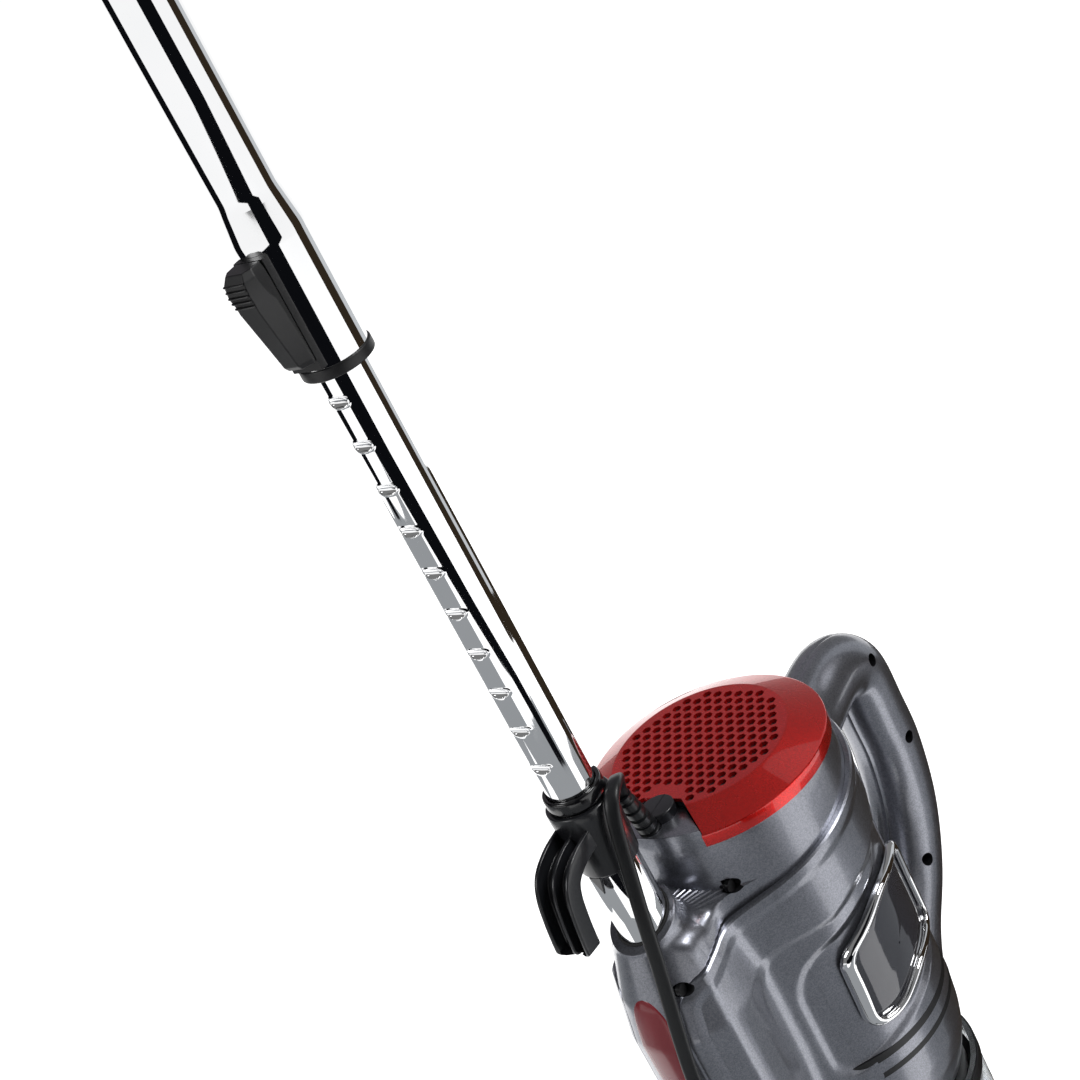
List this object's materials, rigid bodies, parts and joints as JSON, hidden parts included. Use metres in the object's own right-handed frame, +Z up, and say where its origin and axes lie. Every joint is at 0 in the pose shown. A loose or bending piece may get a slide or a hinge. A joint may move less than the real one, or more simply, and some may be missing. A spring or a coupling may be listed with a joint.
{
  "type": "upright vacuum cleaner",
  "caption": "Corded stick vacuum cleaner with telescopic pole, cord hooks, front carrying handle, clear dust cup and swivelling floor head.",
  "frame": {"origin": "on the floor under the middle of the cleaner's box, without its free lead, coil and plug", "axes": "+Z up along the pole, +Y to the back (pole and wheels), -Y to the front (carrying handle), +X to the right seen from the front"},
  "size_m": [0.276, 0.3632, 1.185],
  "materials": {
    "graphite_plastic": "metallic flake gloss",
    "red_plastic": "metallic gloss",
    "red_clear": "translucent gloss",
    "black_plastic": "satin",
    "dark_window": "polished",
    "chrome_trim": "vacuum plated",
    "chrome_tube": "plated steel tube",
    "steel": "zinc plated",
    "motor_steel": "pressed",
    "rubber": "matte",
    "soft_grip": "fine texture",
    "cable": "satin sheath",
    "foam": "open foam",
    "filter_paper": "pleated",
    "clear_plastic": "clear",
    "carbon": "matte",
    "bristle": "brush",
    "tyre": "matte",
    "brass": "nickel-plated pins"
  },
  "bodies": {
    "main_body": {"rear_housing_left": "graphite_plastic", "rear_housing_right": "graphite_plastic", "side_panel_left": "graphite_plastic", "side_panel_right": "graphite_plastic", "window_frames": "chrome_trim", "windows": "dark_window", "shell_screws": "steel", "grille_cap": "red_plastic", "filter_tray": "black_plastic", "exhaust_filter": "foam", "strain_relief": "rubber", "pole_socket": "black_plastic", "socket_gasket": "rubber", "motor_can": "motor_steel", "motor_mount": "rubber", "motor_bulkhead": "black_plastic", "fan_diaphragm": "motor_steel", "motor_bearings": "steel", "motor_stator": "motor_steel", "carbon_brushes": "carbon", "switch_body": "black_plastic", "intake_collar": "black_plastic", "cup_seal": "rubber", "filter_cage": "black_plastic", "pleated_filter": "filter_paper", "cord": "cable", "cord_coil": "cable", "plug_body": "cable", "plug_pins": "brass"},
    "rotor": {"motor_shaft": "steel", "armature": "motor_steel", "fan_impeller": "black_plastic"},
    "power_switch": {"switch_slider": "black_plastic"},
    "pole_release": {"release_button": "red_clear", "release_spring": "steel"},
    "pole": {"lower_tube": "chrome_tube", "pole_stub": "chrome_tube", "lower_hook": "graphite_plastic", "cord_clip": "black_plastic"},
    "upper_pole": {"upper_tube": "chrome_tube", "tube_flange": "black_plastic", "slide_bush": "black_plastic", "grip_left": "graphite_plastic", "grip_right": "graphite_plastic", "grip_pad": "soft_grip"},
    "pole_latch": {"latch_slider": "black_plastic", "latch_spring": "steel"},
    "top_hook": {"upper_hook": "graphite_plastic"},
    "cup": {"dust_cup": "clear_plastic", "inlet_pipe": "black_plastic", "inlet_flap": "rubber"},
    "cup_latch": {"cup_latch_button": "red_plastic"},
    "neck": {"neck_elbow": "graphite_plastic"},
    "floor_head": {"head_cover": "graphite_plastic", "head_sole": "black_plastic", "bristle_strips": "bristle", "bumper": "rubber", "head_fasteners": "steel"},
    "left_wheel": {"wheel_left": "tyre"},
    "right_wheel": {"wheel_right": "tyre"}
  },
  "joints": [
    {"name": "motor_spin", "type": "hinge", "parent": "main_body", "child": "rotor", "pos_m": [0, 0.00585, 0.43], "axis": [0, 0, 1], "continuous": true},
    {"name": "switch_slide", "type": "slide", "parent": "main_body", "child": "power_switch", "axis": [0, 0, -1], "range_m": [0, 0.006]},
    {"name": "release_press", "type": "slide", "parent": "main_body", "child": "pole_release", "axis": [0, -1, 0], "range_m": [0, 0.0025], "stiffness_N_per_m": 1200, "springref_m": -0.001},
    {"name": "pole_pull", "type": "slide", "parent": "main_body", "child": "pole", "axis": [0, 0, 1], "range_m": [0, 0.07]},
    {"name": "pole_telescope", "type": "slide", "parent": "pole", "child": "upper_pole", "axis": [0, 0, 1], "range_m": [-0.1818, 0]},
    {"name": "latch_slide", "type": "slide", "parent": "upper_pole", "child": "pole_latch", "axis": [0, 0, 1], "range_m": [0, 0.005], "stiffness_N_per_m": 800, "springref_m": -0.001},
    {"name": "top_hook_turn", "type": "hinge", "parent": "upper_pole", "child": "top_hook", "pos_m": [0, 0.08525, 0.97], "axis": [0, 0, 1], "range_deg": [0, 180]},
    {"name": "cup_drop", "type": "slide", "parent": "main_body", "child": "cup", "axis": [0, 0, -1], "range_m": [0, 0.06]},
    {"name": "cup_latch_press", "type": "slide", "parent": "cup", "child": "cup_latch", "axis": [0, 1, 0], "range_m": [0, 0.0025], "stiffness_N_per_m": 1000, "springref_m": -0.001},
    {"name": "neck_swivel", "type": "hinge", "parent": "cup", "child": "neck", "pos_m": [0, 0.00585, 0.13], "axis": [0, 0, 1], "range_deg": [-30, 30]},
    {"name": "head_tilt", "type": "hinge", "parent": "neck", "child": "floor_head", "pos_m": [0, 0.00585, 0.044], "axis": [1, 0, 0], "range_deg": [0, 70]},
    {"name": "left_wheel_roll", "type": "hinge", "parent": "floor_head", "child": "left_wheel", "pos_m": [-0.064, 0.04785, 0.018], "axis": [1, 0, 0], "continuous": true},
    {"name": "right_wheel_roll", "type": "hinge", "parent": "floor_head", "child": "right_wheel", "pos_m": [0.064, 0.04785, 0.018], "axis": [1, 0, 0], "continuous": true}
  ]
}
